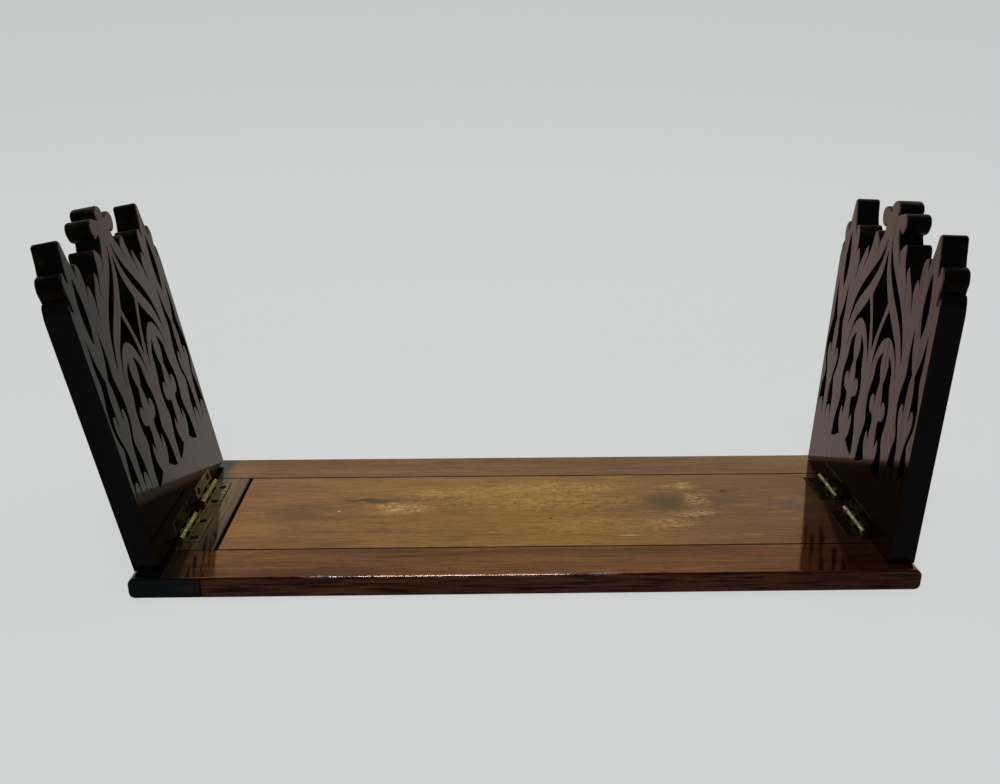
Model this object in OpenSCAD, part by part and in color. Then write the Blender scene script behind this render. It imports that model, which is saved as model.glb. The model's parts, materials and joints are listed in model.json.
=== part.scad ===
/* [Base] */
// Length of the closed base, left to right
base_len = 380; // [366:1:440]
// Depth of the base, front to back
base_d = 138; // [130:1:170]
// Thickness of the rails and the fixed end
base_t = 11; // [10.5:0.5:16]
// Width of each outer rail
rail_w = 27; // [22:0.5:30]
// Length of the fixed left end that carries the left hinges
fixed_len = 34; // [30:1:50]
// Radius of the rounded left and right ends
nose_r = 3.5; // [1:0.5:4.5]
// Radius of the softened long edges
edge_r = 1.2; // [0.4:0.1:2]

/* [Slide] */
// Travel of the centre board from closed to its stop
slide_travel = 190; // [120:5:210]
// Open joint between the fixed end and the closed centre board
end_gap = 1.6; // [0.8:0.1:3]
// Gap between the centre board and each rail
side_clear = 0.35; // [0.2:0.05:0.6]
// How far each tongue stands out of its board
tongue_w = 4.5; // [3:0.5:7]
// Thickness of the tongues
tongue_t = 2.8; // [2:0.1:3.2]
// Height of a tongue's underside above the table
tongue_z = 6; // [5:0.25:6.5]
// Clearance around a tongue in its groove
tongue_clear = 0.2; // [0.1:0.05:0.4]

/* [Ties under the base] */
// Thickness of the two ties let into the underside
tie_t = 4; // [2.5:0.25:4.5]
// Clearance between the ties and the board that slides over them
board_lift = 0.2; // [0.1:0.05:0.4]
// Distance of the left tie from the base's left end
left_tie_inset = 8; // [5:0.5:14]
// How far the left tie reaches under the rails, past the end of the fixed part
left_tie_reach = 14; // [10:0.5:24]
// Length along the base of the right tie
right_tie_len = 18; // [14:1:26]
// Distance of the right tie from the base's right end
right_tie_inset = 22; // [18:1:32]
// Distance of the ties' ends from the base's front and back
tie_margin = 6; // [4:0.5:12]
// Distance of the foot strip from the base's right end
foot_inset = 4; // [4:0.5:8]
// Distance of the foot and stop strips' ends from the centre board's sides
strip_margin = 4; // [2:0.5:10]
// Length along the base of the stop strip
stop_len = 16; // [10:1:24]
// Height of the stop strip above the table
stop_lift = 0.5; // [0.3:0.1:1.2]
// Gap left between the strips and the right tie at each end of the travel
stop_gap = 0.3; // [0.2:0.05:0.6]

/* [Fret ends] */
// Width of each fret end
end_w = 125; // [116:1:130]
// Height of each fret end to the tip of its finial
end_h = 165; // [150:1:168]
// Thickness of each fret end
end_t = 12.4; // [8:0.2:14]
// Distance of an upright end's outer face from the end of the base
end_margin = 1.4; // [1:0.2:6]
// Outward lean of the left end, resting on its stop
left_lean = 10.5; // [0:0.5:12]
// Outward lean of the right end, resting on its stop
right_lean = 2.2; // [0:0.1:12]
// Gap between a leaning end's lower outer edge and the base
seat_gap = 0.15; // [0.1:0.05:0.3]

/* [Hinges] */
// Length of each hinge
hinge_len = 28; // [24:1:32]
// Distance between the middles of an end's two hinges
hinge_spread = 41; // [36:1:46]
// Distance of the two hinges' middle behind the base's middle
hinge_shift = 1; // [0:0.5:4]
// Distance of the pin's middle from the base top and from the end's face
axis_off = 1.4; // [1.2:0.1:1.6]
// Diameter of the barrel
barrel_d = 3.2; // [3.2:0.1:3.8]
// Diameter of the pin
pin_d = 2; // [1.4:0.1:2.4]
// Radial clearance of the pin in the knuckles
pin_clear = 0.05; // [0.02:0.01:0.08]
// Knuckles in each barrel
knuckle_count = 5; // [3:2:7]
// Gap between neighbouring knuckles
knuckle_gap = 0.2; // [0.1:0.05:0.4]
// Width of each leaf from the pin's middle
leaf_w = 9; // [8:0.25:12]
// Thickness of the leaves
leaf_t = 1.2; // [0.8:0.1:1.6]
// Gap around a leaf in its recess
leaf_gap = 0.3; // [0.1:0.05:0.6]

/* [Screws] */
// Diameter of the screw heads
head_d = 4; // [3:0.2:4.6]
// Height of the tapered heads
head_h = 1.1; // [0.8:0.1:1.4]
// Diameter of the screw shanks
shank_d = 2; // [1.4:0.1:2.4]
// Clearance around a screw in its hole
screw_clear = 0.05; // [0.02:0.01:0.1]
// Width of the driver slots
slot_w = 0.6; // [0.4:0.05:0.9]
// Depth of the driver slots
slot_d = 0.5; // [0.3:0.05:0.6]
// Length of the screws in the hinge leaves
leaf_screw_len = 5.5; // [4:0.25:6]
// Distance of the leaf screws from the pin's middle
leaf_screw_x = 5.4; // [5:0.1:6]
// Distance between a leaf's two screws
leaf_screw_spread = 18; // [14:0.5:20]
// Length of the screws in the ties and strips
tie_screw_len = 8; // [6.5:0.25:8.5]
// Depth of those screws' heads below the surface
tie_screw_sink = 0.3; // [0.1:0.1:0.5]
// Distance between the foot and stop strips' outer screws
strip_screw_spread = 50; // [30:1:56]

/* [Fret curve] */
// Straight pieces in each bend of the fret's curves
bend_steps = 3; // [2:1:6]

/* [Hidden] */
$fn = 48;
// How far a cut runs past the face that it opens
over = 1;

// Places along the base
end_x = base_len / 2;
joint_x = -end_x + fixed_len;
board_x = joint_x + end_gap;
left_tie_x = -end_x + left_tie_inset;
left_tie_len = joint_x + left_tie_reach - left_tie_x;
right_tie_x = end_x - right_tie_inset - right_tie_len;
foot_x = right_tie_x + right_tie_len + stop_gap;
stop_x = right_tie_x - stop_gap - slide_travel - stop_len;

// Places across the base
rail_in = base_d / 2 - rail_w;
tie_half = base_d / 2 - tie_margin;
rail_screw_y = (rail_in + tie_half) / 2;
board_half = rail_in - side_clear;
strip_half = board_half - strip_margin;
board_z = tie_t + board_lift;

// The pins' middles
axis_x = end_x - end_margin - end_t - axis_off;
axis_z = base_t + axis_off;
hinge_ys = [hinge_shift - hinge_spread / 2, hinge_shift + hinge_spread / 2];
knuckle_len = (hinge_len - (knuckle_count - 1) * knuckle_gap) / knuckle_count;
// Distance from the pin's middle that is left free for the other leaf's turning knuckles
turn_r = barrel_d / 2 + knuckle_gap;

// Height of a fret end's lower edge over the base at which its outer edge seats at that lean
function end_lift(lean) =
    axis_off + ((axis_off + end_t) * sin(lean) - axis_off + seat_gap) / cos(lean);

// The fret is drawn on a panel of this width and height, and stretched to the fret ends' size
fret_w = 127;
fret_h = 168;
// Distances from the panel's middle line to the arch and pinnacle lines
arch_u = 18.6;
pinnacle_u = 51;

// Points are [distance from a line, height]. A third value marks a sharp tip, the rest bend smoothly.

// Right half of the outline, from the lower corner up to the tip of the finial
half_outline = [
    [63.5, 0, 1], [63.5, 127, 1],
    // Shoulder leaf
    [63.1, 133], [61.8, 136, 1], [60.2, 130, 1],
    // Corner pinnacle with its two ears
    [60.7, 136], [61.9, 141.6], [60.4, 146.4], [57, 147.8, 1], [56.3, 142.8, 1], [55.6, 148, 1],
    [54.7, 153.8], [53.4, 160, 1], [51.6, 161], [49.8, 160, 1], [48.5, 154], [46.6, 147.8, 1],
    [45.9, 142.6, 1], [45.2, 147.6, 1], [42.8, 148.2], [40.8, 146], [40, 142], [39.8, 136, 1],
    // Low, middle and high leaves beside the big arch
    [41.2, 131.5, 1], [39.6, 135], [37.4, 136.8, 1], [35.7, 133.5], [34.8, 129.8, 1], [36.6, 119.5, 1],
    [33.6, 129], [30.2, 134.5], [26.4, 140.6, 1], [24.7, 137], [27.8, 128.4, 1], [22.9, 137.5],
    [20.8, 143.5], [20.2, 148.4], [18.4, 149.9], [15.2, 147.6], [13, 144.6, 1], [16.4, 138, 1],
    // Neck and ears of the finial
    [11.2, 146.8], [9.2, 151], [8.7, 154.8, 1], [11.2, 153.2], [14.2, 155.4], [15.2, 159.8],
    [13, 163.2], [8.6, 163.1], [4.4, 161.6, 1], [5, 164.6], [3.4, 167.1], [0, 168]
];

// Crossed tracery at the head of the big arch
half_lozenge = [
    [0, 143, 1], [1.1, 137], [2.8, 130.5], [6, 124.5], [10, 117.8, 1], [6.6, 110], [3.4, 102],
    [1.4, 96], [0, 90, 1]
];
crescent = [
    [2.6, 148, 1], [4.8, 143], [8.8, 137], [15.8, 129.5], [23.4, 121.5], [30, 112.5], [34, 102.5],
    [36, 94, 1], [32.6, 101.5], [28.6, 109], [22, 116], [14.6, 123.5], [8, 132], [4.4, 139.5]
];
spandrel = [
    [13, 115, 1], [19.6, 107.5], [25.6, 101.5], [29.4, 95], [31.6, 87.5], [32.2, 83.5, 1],
    [30, 92], [26.6, 97.5], [21.8, 101.5], [17.4, 102.2], [11.6, 99], [6.8, 92], [4, 85.5],
    [3, 81.8, 1], [4.8, 93], [7, 102], [10.2, 109.5]
];

// One side of the opening under a small arch, measured from the arch line
arch_slot = [
    [3.4, 93.6, 1], [6.4, 91], [9, 87], [9.6, 81.5], [10.4, 76.5], [12.4, 71], [13, 65.5],
    [12.6, 59.5], [11.2, 53.8], [11.6, 50], [13.6, 43.5], [14.8, 36.5], [15.2, 28.5, 1],
    [11, 29.8], [5.2, 33.6, 1], [7.4, 37.5], [8.6, 42], [8.4, 46.5], [6.8, 50.2, 1],
    [4.6, 44.8, 1], [4.2, 49.5], [3.6, 53], [3.5, 57], [4.8, 59.3], [7.4, 59.8], [9.6, 63],
    [9.4, 67.6], [7.2, 70.1], [5, 69.6, 1], [4.3, 66.2, 1], [3.8, 71], [2.8, 75], [2, 78.6, 1],
    [3.6, 82.5], [4.4, 87], [4.1, 91]
];

// One side of the opening under a pinnacle, measured from the pinnacle line
side_slot = [
    [7.2, 115, 1], [7.8, 106], [7.8, 99], [7.2, 92.5], [8.6, 86.5], [10.2, 80], [10.4, 73],
    [9, 66], [6.6, 60], [7.8, 54.5], [9.1, 49], [9.6, 43], [9.7, 33, 1], [8.8, 40.4], [6.3, 43.2],
    [4, 40.6], [3, 33.8, 1], [2.9, 42], [3, 48], [3.4, 54], [4.4, 59], [5.6, 63], [7.2, 67.6],
    [7.9, 72], [6.8, 76.4], [5, 77.2], [3.9, 75.2, 1], [3.3, 71.4, 1], [3.2, 77], [3.3, 83],
    [2.8, 88], [1.6, 93.2, 1], [3.8, 98.5], [5.8, 105.5]
];
half_pinnacle_slot = [[0, 143, 1], [1.8, 136], [2.8, 127], [2, 118], [0, 111.5, 1]];

// Curves of the fret

function at(pts, i) = let (p = pts[(i + len(pts)) % len(pts)]) [p[0], p[1]];
function is_tip(pts, i) = len(pts[(i + len(pts)) % len(pts)]) == 3;
function heading(pts, i) =
    let (v = at(pts, i + 1) - at(pts, i - 1))
    v / norm(v);

// Point at share t of a curve from p to q that leaves along m and arrives along n
function bend(p, q, m, n, t) =
    (1 + 2 * t) * pow(1 - t, 2) * p + t * pow(1 - t, 2) * m
    + t * t * (3 - 2 * t) * q + t * t * (t - 1) * n;

// Points from one outline point towards the next, straight between two tips
function stretch(pts, i) =
    let (
        p = at(pts, i),
        q = at(pts, i + 1),
        leave = heading(pts, i) * norm(q - p),
        arrive = heading(pts, i + 1) * norm(q - p),
        m = is_tip(pts, i) ? 1.5 * (q - p) - 0.5 * arrive : leave,
        n = is_tip(pts, i + 1) ? 1.5 * (q - p) - 0.5 * leave : arrive
    )
    is_tip(pts, i) && is_tip(pts, i + 1)
        ? [p]
        : [for (k = [0 : bend_steps - 1]) bend(p, q, m, n, k / bend_steps)];

function smooth(pts) = [for (i = [0 : len(pts) - 1]) each stretch(pts, i)];

// A half shape and its mirror image as one closed list of points
function both_halves(half) =
    concat(half, [
        for (i = [len(half) - 1 : -1 : 0])
            if (half[i][0] > 0)
                concat([-half[i][0]], [for (k = [1 : len(half[i]) - 1]) half[i][k]])
    ]);

// Places a shape on side s of the line at distance u, for the fret end's own size
function placed(pts, u, s) = [
    for (p = pts) [(u + s * p[0]) * end_w / fret_w, p[1] * end_h / fret_h]
];

module opening(pts, u, s) {
    polygon(placed(smooth(pts), u, s));
}

module fret_face() {
    difference() {
        opening(both_halves(half_outline), 0, 1);
        opening(both_halves(half_lozenge), 0, 1);
        for (s = [-1, 1]) {
            opening(crescent, 0, s);
            opening(spandrel, 0, s);
            opening(both_halves(half_pinnacle_slot), s * pinnacle_u, 1);
            for (t = [-1, 1]) {
                opening(arch_slot, s * arch_u, t);
                opening(side_slot, s * pinnacle_u, t);
            }
        }
    }
}

// Base boards

module rounded_rect(w, h, r) {
    translate([r, 0])
        square([w - 2 * r, h]);
    translate([0, r])
        square([w, h - 2 * r]);
    for (x = [r, w - r]) {
        for (y = [r, h - r]) {
            translate([x, y])
                circle(r);
        }
    }
}

// The closed base as one board with rounded ends and softened long edges
module base_form() {
    intersection() {
        translate([-end_x, base_d / 2, 0])
            rotate([90, 0, 0])
                linear_extrude(base_d)
                    rounded_rect(base_len, base_t, nose_r);
        translate([-end_x, -base_d / 2, 0])
            rotate([90, 0, 90])
                linear_extrude(base_len)
                    rounded_rect(base_d, base_t, edge_r);
    }
}

// Box between two corners
module span(low, high) {
    translate(low)
        cube(high - low);
}

// The stretch of the base between two corners
module board(low, high) {
    intersection() {
        base_form();
        span(low, high);
    }
}

// Tongues along both sides of a board of half width half, between x0 and x1
module tongues(x0, x1, half) {
    for (s = [0, 1]) {
        mirror([0, s, 0])
            board([x0, half, tongue_z], [x1, rail_in + tongue_w, tongue_z + tongue_t]);
    }
}

// Groove in the inner edge of the rear rail side, between x0 and x1
module groove(x0, x1) {
    span([x0, rail_in - over, tongue_z - tongue_clear],
         [x1, rail_in + tongue_w + tongue_clear, tongue_z + tongue_t + tongue_clear]);
}

// A piece along the rear edge of the base from x0 to x1, before its ties are let in
module edge_piece(x0, x1) {
    difference() {
        board([x0, rail_in, 0], [x1, base_d / 2, base_t]);
        groove(x0 - over, x1 + over);
    }
}

module tie_form(x0, length) {
    span([x0, -tie_half, 0], [x0 + length, tie_half, tie_t]);
}

module left_tie_form() {
    tie_form(left_tie_x, left_tie_len);
}

module right_tie_form() {
    tie_form(right_tie_x, right_tie_len);
}

// Screws

// Countersunk screw form with its head's face at the origin and its shank along +Z
module screw_form(length, grow) {
    cylinder(h = head_h, d1 = head_d + 2 * grow, d2 = shank_d + 2 * grow);
    cylinder(h = length + grow, d = shank_d + 2 * grow);
}

module screw(length) {
    difference() {
        screw_form(length, 0);
        translate([-head_d, -slot_w / 2, -over])
            cube([2 * head_d, slot_w, slot_d + over]);
    }
}

// Screw hole with the way for a head that is sunk below the surface
module screw_hole(length, sink) {
    screw_form(length, screw_clear);
    translate([0, 0, -sink - over])
        cylinder(h = sink + over, d = head_d + 2 * screw_clear);
}

// Places of the screws that come up from below, at the height of their heads
module at_left_tie_screws() {
    fixed_mid = (left_tie_x + joint_x) / 2;
    rail_part_mid = joint_x + left_tie_reach / 2;
    for (x = [fixed_mid, rail_part_mid]) {
        for (y = [-rail_screw_y, rail_screw_y]) {
            translate([x, y, tie_screw_sink])
                children();
        }
    }
    for (y = [-rail_in / 2, rail_in / 2]) {
        translate([fixed_mid, y, tie_screw_sink])
            children();
    }
}

module at_right_tie_screws() {
    for (y = [-rail_screw_y, rail_screw_y]) {
        translate([right_tie_x + right_tie_len / 2, y, tie_screw_sink])
            children();
    }
}

module at_strip_screws(x, z) {
    for (y = [-strip_screw_spread / 2, 0, strip_screw_spread / 2]) {
        translate([x, y, z + tie_screw_sink])
            children();
    }
}

module at_foot_screws() {
    at_strip_screws((foot_x + end_x - foot_inset) / 2, 0)
        children();
}

module at_stop_screws() {
    at_strip_screws(stop_x + stop_len / 2, stop_lift)
        children();
}

// The ties and the holes for their screws, cut from the boards above them
module tie_cuts() {
    left_tie_form();
    right_tie_form();
    at_left_tie_screws()
        screw_hole(tie_screw_len, tie_screw_sink);
    at_right_tie_screws()
        screw_hole(tie_screw_len, tie_screw_sink);
}

// Hinges, drawn about the pin's middle with +X outward and the end's face upright

// Places of the barrel pieces numbered first, first + 2 and so on
module knuckles(first) {
    for (k = [first : 2 : knuckle_count - 1]) {
        translate([0, -hinge_len / 2 + k * (knuckle_len + knuckle_gap), 0])
            children();
    }
}

module along_pin(d, length) {
    rotate([-90, 0, 0])
        cylinder(h = length, d = d);
}

module pin_bore() {
    translate([0, -hinge_len / 2 - over, 0])
        along_pin(pin_d + 2 * pin_clear, hinge_len + 2 * over);
}

module at_leaf_screws() {
    for (y = [-leaf_screw_spread / 2, leaf_screw_spread / 2]) {
        translate([0, y, 0])
            children();
    }
}

module at_base_leaf_screws() {
    at_leaf_screws()
        translate([-leaf_screw_x, 0, -axis_off])
            rotate([180, 0, 0])
                children();
}

module at_end_leaf_screws() {
    at_leaf_screws()
        translate([axis_off, 0, leaf_screw_x])
            rotate([0, 90, 0])
                children();
}

// Each leaf is a plate, with a tongue and a web that carry it to its own knuckles

module base_leaf() {
    color("darkkhaki")
        difference() {
            union() {
                translate([-leaf_w, -hinge_len / 2, -axis_off - leaf_t])
                    cube([leaf_w - turn_r, hinge_len, leaf_t]);
                knuckles(0) {
                    along_pin(barrel_d, knuckle_len);
                    translate([-turn_r, 0, -axis_off - leaf_t])
                        cube([turn_r, knuckle_len, leaf_t]);
                    translate([-pin_d / 2, 0, -axis_off])
                        cube([pin_d / 2, knuckle_len, axis_off]);
                }
            }
            pin_bore();
            at_base_leaf_screws()
                screw_hole(leaf_screw_len, 0);
        }
}

module end_leaf() {
    color("darkkhaki")
        difference() {
            union() {
                translate([axis_off, -hinge_len / 2, turn_r])
                    cube([leaf_t, hinge_len, leaf_w - turn_r]);
                knuckles(1) {
                    along_pin(barrel_d, knuckle_len);
                    translate([axis_off, 0, 0])
                        cube([leaf_t, knuckle_len, turn_r]);
                    cube([axis_off, knuckle_len, pin_d / 2]);
                }
            }
            pin_bore();
            at_end_leaf_screws()
                screw_hole(leaf_screw_len, 0);
        }
}

module hinge_pin() {
    color("goldenrod")
        translate([0, -hinge_len / 2, 0])
            along_pin(pin_d, hinge_len);
}

// Recess and screw holes for one base leaf, open upwards, with room for the turning knuckles
module base_leaf_cuts() {
    translate([-leaf_w - leaf_gap, -hinge_len / 2 - leaf_gap, -axis_off - leaf_t])
        cube([leaf_w + leaf_gap + turn_r, hinge_len + 2 * leaf_gap, leaf_t + over]);
    at_base_leaf_screws()
        screw_hole(leaf_screw_len, 0);
}

// Recess and screw holes for one end leaf, open inwards and downwards, with the same room
module end_leaf_cuts() {
    translate([axis_off - over, -hinge_len / 2 - leaf_gap, -turn_r])
        cube([leaf_t + over, hinge_len + 2 * leaf_gap, turn_r + leaf_w + leaf_gap]);
    at_end_leaf_screws()
        screw_hole(leaf_screw_len, 0);
}

// Placing at the two ends of the base

// The pin line of the right end, or of the left end for s = 1
module at_pin_line(s) {
    mirror([s, 0, 0])
        translate([axis_x, 0, axis_z])
            children();
}

// The same place turned outward with a fret end that leans
module at_lean(s, lean) {
    at_pin_line(s)
        rotate([0, lean, 0])
            children();
}

module at_hinges() {
    for (y = hinge_ys) {
        translate([0, y, 0])
            children();
    }
}

// Rails and fixed end

module front_rail() {
    color("saddlebrown")
        difference() {
            mirror([0, 1, 0])
                edge_piece(joint_x, end_x);
            tie_cuts();
        }
}

module rear_rail() {
    color("saddlebrown")
        difference() {
            edge_piece(joint_x, end_x);
            tie_cuts();
        }
}

module front_end_block() {
    color("#4a2c22")
        difference() {
            mirror([0, 1, 0])
                edge_piece(-end_x, joint_x);
            tie_cuts();
        }
}

module rear_end_block() {
    color("#4a2c22")
        difference() {
            edge_piece(-end_x, joint_x);
            tie_cuts();
        }
}

module left_hinge_block() {
    color("sienna")
        difference() {
            union() {
                board([-end_x, -rail_in, 0], [joint_x, rail_in, base_t]);
                tongues(-end_x, joint_x, rail_in);
            }
            tie_cuts();
            at_pin_line(1)
                at_hinges()
                    base_leaf_cuts();
        }
}

module left_tie() {
    color("peru")
        difference() {
            left_tie_form();
            at_left_tie_screws()
                screw_hole(tie_screw_len, tie_screw_sink);
        }
}

module right_tie() {
    color("peru")
        difference() {
            right_tie_form();
            at_right_tie_screws()
                screw_hole(tie_screw_len, tie_screw_sink);
        }
}

module left_tie_screws() {
    color("dimgray")
        at_left_tie_screws()
            screw(tie_screw_len);
}

module right_tie_screws() {
    color("dimgray")
        at_right_tie_screws()
            screw(tie_screw_len);
}

// Sliding centre board with the strips under it

module centre_board() {
    color("chocolate")
        difference() {
            union() {
                board([board_x, -board_half, board_z], [end_x, board_half, base_t]);
                tongues(board_x, end_x, board_half);
            }
            at_pin_line(0)
                at_hinges()
                    base_leaf_cuts();
            at_foot_screws()
                screw_hole(tie_screw_len, 0);
            at_stop_screws()
                screw_hole(tie_screw_len, 0);
        }
}

module foot_strip() {
    color("peru")
        difference() {
            span([foot_x, -strip_half, 0], [end_x - foot_inset, strip_half, board_z]);
            at_foot_screws()
                screw_hole(tie_screw_len, tie_screw_sink);
        }
}

module stop_strip() {
    color("peru")
        difference() {
            span([stop_x, -strip_half, stop_lift], [stop_x + stop_len, strip_half, board_z]);
            at_stop_screws()
                screw_hole(tie_screw_len, tie_screw_sink);
        }
}

module foot_strip_screws() {
    color("dimgray")
        at_foot_screws()
            screw(tie_screw_len);
}

module stop_strip_screws() {
    color("dimgray")
        at_stop_screws()
            screw(tie_screw_len);
}

// Folding fret ends

module fret_end(lean) {
    color("#33211c")
        difference() {
            translate([axis_off, 0, end_lift(lean) - axis_off])
                rotate([90, 0, 90])
                    linear_extrude(end_t)
                        fret_face();
            at_hinges()
                end_leaf_cuts();
        }
}

module left_fret_end() {
    at_lean(1, left_lean)
        fret_end(left_lean);
}

module right_fret_end() {
    at_lean(0, right_lean)
        fret_end(right_lean);
}

module hinge_place(s, i) {
    at_pin_line(s)
        translate([0, hinge_ys[i], 0])
            children();
}

module leaning_hinge_place(s, i, lean) {
    at_lean(s, lean)
        translate([0, hinge_ys[i], 0])
            children();
}

module base_leaf_screws(s) {
    color("gray")
        at_pin_line(s)
            at_hinges()
                at_base_leaf_screws()
                    screw(leaf_screw_len);
}

module end_leaf_screws(s, lean) {
    color("gray")
        at_lean(s, lean)
            at_hinges()
                at_end_leaf_screws()
                    screw(leaf_screw_len);
}

front_rail();
rear_rail();
front_end_block();
rear_end_block();
left_hinge_block();
left_tie();
right_tie();
left_tie_screws();
right_tie_screws();
centre_board();
foot_strip();
stop_strip();
foot_strip_screws();
stop_strip_screws();
left_fret_end();
right_fret_end();
hinge_place(1, 0) base_leaf();  // left_front_base_leaf
leaning_hinge_place(1, 0, left_lean) end_leaf();  // left_front_end_leaf
hinge_place(1, 0) hinge_pin();  // left_front_pin
hinge_place(1, 1) base_leaf();  // left_rear_base_leaf
leaning_hinge_place(1, 1, left_lean) end_leaf();  // left_rear_end_leaf
hinge_place(1, 1) hinge_pin();  // left_rear_pin
hinge_place(0, 0) base_leaf();  // right_front_base_leaf
leaning_hinge_place(0, 0, right_lean) end_leaf();  // right_front_end_leaf
hinge_place(0, 0) hinge_pin();  // right_front_pin
hinge_place(0, 1) base_leaf();  // right_rear_base_leaf
leaning_hinge_place(0, 1, right_lean) end_leaf();  // right_rear_end_leaf
hinge_place(0, 1) hinge_pin();  // right_rear_pin
base_leaf_screws(1);  // left_base_leaf_screws
end_leaf_screws(1, left_lean);  // left_end_leaf_screws
base_leaf_screws(0);  // right_base_leaf_screws
end_leaf_screws(0, right_lean);  // right_end_leaf_screws
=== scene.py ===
import json
import math

import bmesh
import bpy
import numpy as np
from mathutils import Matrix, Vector
from mathutils.geometry import delaunay_2d_cdt


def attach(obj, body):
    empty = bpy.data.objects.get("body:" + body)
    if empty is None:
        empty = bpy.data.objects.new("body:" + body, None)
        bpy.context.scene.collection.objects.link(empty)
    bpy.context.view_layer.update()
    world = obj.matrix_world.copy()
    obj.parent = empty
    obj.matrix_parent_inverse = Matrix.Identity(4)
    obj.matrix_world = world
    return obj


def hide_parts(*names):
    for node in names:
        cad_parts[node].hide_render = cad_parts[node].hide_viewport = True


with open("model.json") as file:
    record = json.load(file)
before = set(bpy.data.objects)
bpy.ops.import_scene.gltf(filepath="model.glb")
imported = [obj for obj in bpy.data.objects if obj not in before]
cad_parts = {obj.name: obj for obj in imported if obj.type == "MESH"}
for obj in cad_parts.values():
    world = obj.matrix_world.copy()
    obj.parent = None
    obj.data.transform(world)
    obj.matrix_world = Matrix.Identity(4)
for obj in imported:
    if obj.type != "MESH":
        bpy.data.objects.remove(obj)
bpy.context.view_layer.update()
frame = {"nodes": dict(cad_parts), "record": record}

MM = 0.001
nodes = frame["nodes"]
record = frame["record"]
body_of_node = {
    node: body for body, names in record["behaviour"]["bodies"].items() for node in names}

# Softened edges, as planing, scraping and handling leave them, with the finest at close joints
RAIL_EDGE = 0.35 * MM
JOINT_EDGE = 0.15 * MM
BOARD_EDGE = 0.45 * MM
TIE_EDGE = 0.25 * MM
LEAF_EDGE = 0.18 * MM
EDGE_STEPS = 3
EDGE_ANGLE = math.radians(30)
# Faces that meet at a blunter edge than this are shaded as one surface
SHARP = math.radians(36)
# Corners of the CAD triangles nearer than the first are one, and faces within the others one flat
WELD = 0.002 * MM
FLAT_STEP = 0.02 * MM
FLAT_ANGLE = math.radians(0.3)
FLAT_FACING = 0.99999

# Rims of the fret ends: crisp in the tracery, round on the heads, and nearly sharp at the recesses
# for the hinge leaves
TRACERY_EDGE = 0.3 * MM
HEAD_EDGE = 1.2 * MM
RECESS_EDGE = 0.1 * MM
RECESS_LOW = 11.2 * MM
RECESS_HIGH = 23 * MM
RECESS_HALF = 45 * MM
# How far below the top the heads begin, in the middle and on the outer pinnacles
HEAD_DEPTH = 22 * MM
PINNACLE_DEPTH = 41 * MM
PINNACLE_Y = 55 * MM
HEAD_BLEND = 5 * MM
# Steps of the rims' quarter circle in degrees, and the share of its distance that each point keeps
RIM_STEPS = (30, 60, 90)
RIM_CLEAR = 0.97
MITRE_LIMIT = 0.2
POINTS_AT_ONCE = 400
TINY = 1e-9
# Points of the new flats nearer than this in millimetres are one
MESH_GAP = 1e-4

# The camera, solved from the photograph's edges at the object's real size
CAMERA_AT = (-0.02121, -0.47378, 0.25176)
CAMERA_TURN = (69.923, 0.034, -1.146)
CAMERA_LENS = 34.97
SENSOR_WIDTH = 36.0

# Marks on the top of the base in millimetres: middle, half sizes, colour and strength
BASE_TOP = 11.0
MARK_DEPTH = 20.0
PALE_FIGURE = (
    ((-66, 2), (24, 11), "e8ba6c", 0.9),
    ((-46, 19), (30, 8), "e0b060", 0.75),
    ((-14, 12), (46, 22), "d6a452", 0.5),
    ((98, 9), (11, 11), "d6aa6c", 0.9),
    ((92, -8), (17, 7), "dcb070", 0.9),
    ((77, -18), (20, 9), "d6a466", 0.9),
    ((92, 27), (15, 6), "e2b460", 0.8),
    ((18, 26), (64, 11), "e0ae58", 0.75),
    ((30, 6), (48, 14), "dcaa56", 0.55),
    ((36, -20), (52, 14), "d8a554", 0.45),
)
DARK_FIGURE = (
    ((-40, 8), (60, 18), "5c3a18", 0.5),
    ((40, 4), (60, 28), "5c3a18", 0.6),
    ((94, -4), (26, 26), "5a341c", 0.7),
)
DULL_FIGURE = (
    ((-84, 11.5), (24, 3.4), "352f26", 0.8),
    ((80, 7), (18, 16), "4c4430", 0.8),
    ((114, 19.5), (8, 5), "6a3f26", 0.6),
    ((-122, -2), (20, 12), "5c4a33", 0.5),
    ((112, 8), (18, 7), "5a4a3c", 0.6),
    ((148, 3), (14, 9), "54463c", 0.6),
    ((58, 0), (26, 10), "6a4b28", 0.4),
)
KNOTS = (
    ((114, 19.5), (2.4, 1.7), "1c120b", 0.95),
    ((15, -11.5), (1.6, 1.2), "24160d", 0.9),
    ((-99, -1), (0.8, 0.9), "f0e4c8", 0.9),
    ((54, -31.2), (7, 0.6), "e0bd8c", 0.8),
)
RAIL_MARKS = (
    ((-42, 61), (15, 3), "4a3626", 0.6),
)
# Marks along the front arris: dark nicks, and the places where the polish is rubbed off, painted
# pale also as a painted highlight where the lamp catches the arris
ARRIS_Y = -69.0
ARRIS_HALF = 1.0
NICKS = ((-123, 5), (-112, 2), (-96, 2.5), (-74, 1.5))
RUBBED_AND_HIGHLIT = ((-98, 16), (-70, 20), (-38, 40), (2, 34), (36, 14))
# Where the board's tones run from and to, and where the rails' stain darkens towards the free end
BOARD_SPAN = (-165, 190)
FREE_END = (95, 165)
# Seams along the rails and across the fixed end, and how far from them the dirt begins and is full
SEAM_Y = 42.0
SEAM_X = 156.0
SEAM_DIRT = (0.9, 0.35)
# The fret ends: distance from the middle, half of the depth that their tones run through, and where
# their outer edges begin
END_X = 180.0
TONE_HALF = 70.0
FRET_SIDE = (61.2, 61.8)
# The painted dark reflection of the base at the foot of the fret ends' inner faces: height at the
# back, that place in Y, its rise towards the front on the left and right, and how far above and
# below that line it begins and is full
REFLECTION_LOW = 13.4
REFLECTION_BACK = 60.0
REFLECTION_RISE = (0.282, 0.422)
REFLECTION_SOFT = (1.5, -3.5)
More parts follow.
